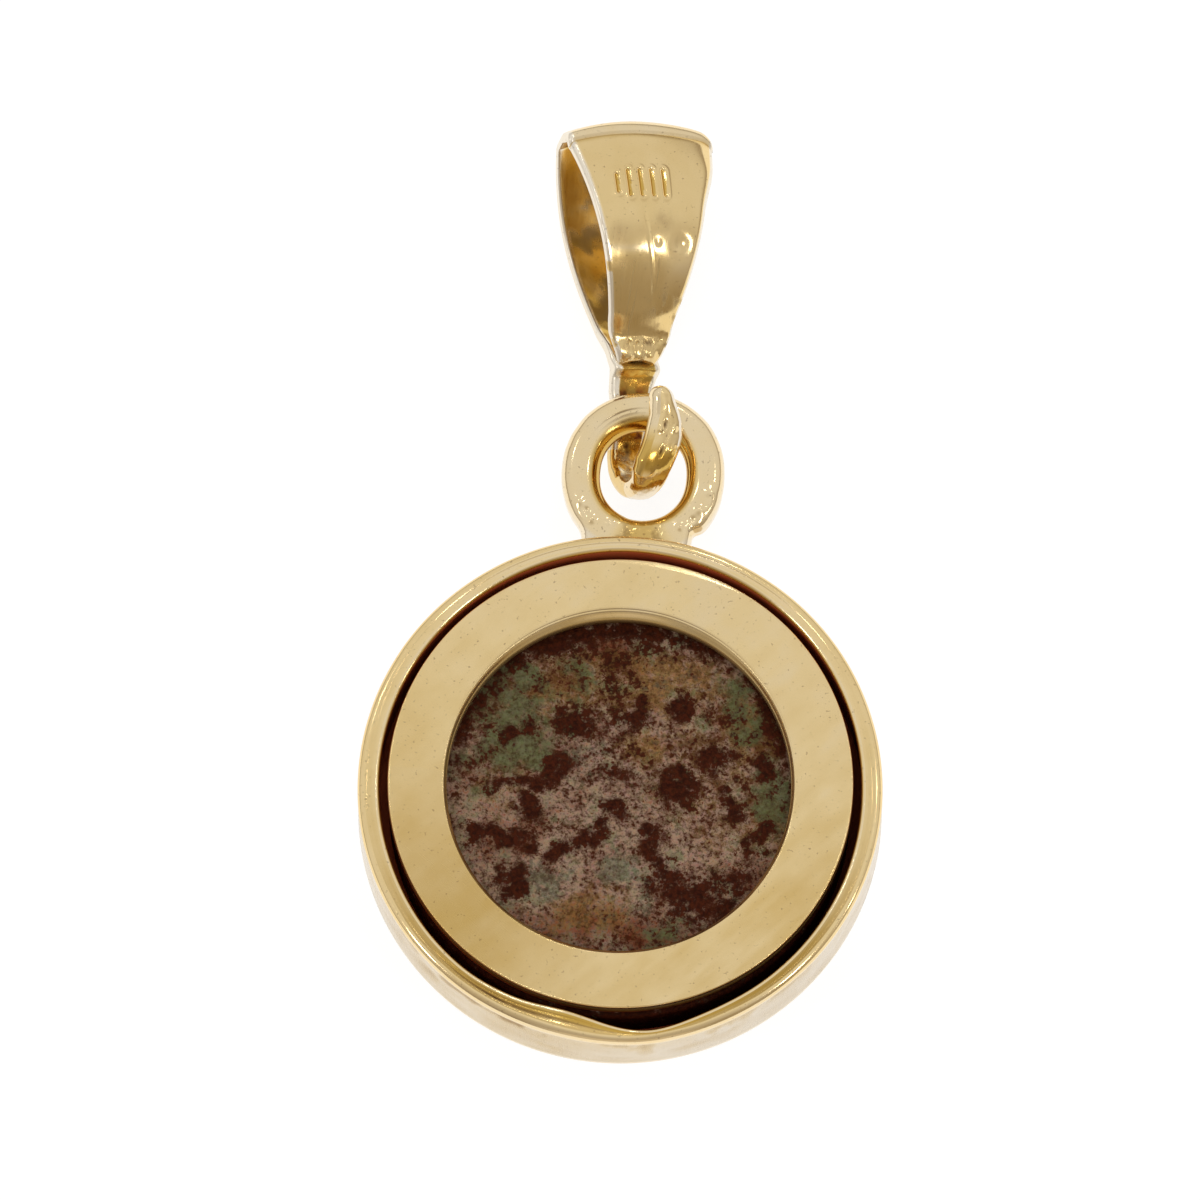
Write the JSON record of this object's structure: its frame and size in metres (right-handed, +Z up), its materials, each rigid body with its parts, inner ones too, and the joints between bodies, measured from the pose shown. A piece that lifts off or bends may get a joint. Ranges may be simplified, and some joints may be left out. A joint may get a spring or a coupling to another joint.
{
  "type": "coin pendant",
  "caption": "Small round coin in a plain gold bezel with a flat back ring, a soldered loop and a folded, tapered bail whose tongue hooks the loop, lying face down.",
  "frame": {"origin": "middle of the bezel's front face, on the surface that the pendant lies on", "axes": "+Z up, out of the coin's back; +Y from the coin towards the loop and the bail"},
  "size_m": [0.017, 0.0311, 0.0046],
  "materials": {
    "bezel_gold": "polished yellow gold alloy with fine handling scratches",
    "back_ring_gold": "polished flat gold sheet with a soft sheen and fine scratches",
    "coin_bronze": "ancient struck bronze, dark brown worn relief under a pale, green and tan earthy patina",
    "bail_gold": "polished yellow gold sheet, folded, with file marks near the neck"
  },
  "bodies": {
    "root": {"bezel": "bezel_gold", "back_ring": "back_ring_gold", "coin": "coin_bronze", "bail": "bail_gold"}
  },
  "joints": []
}
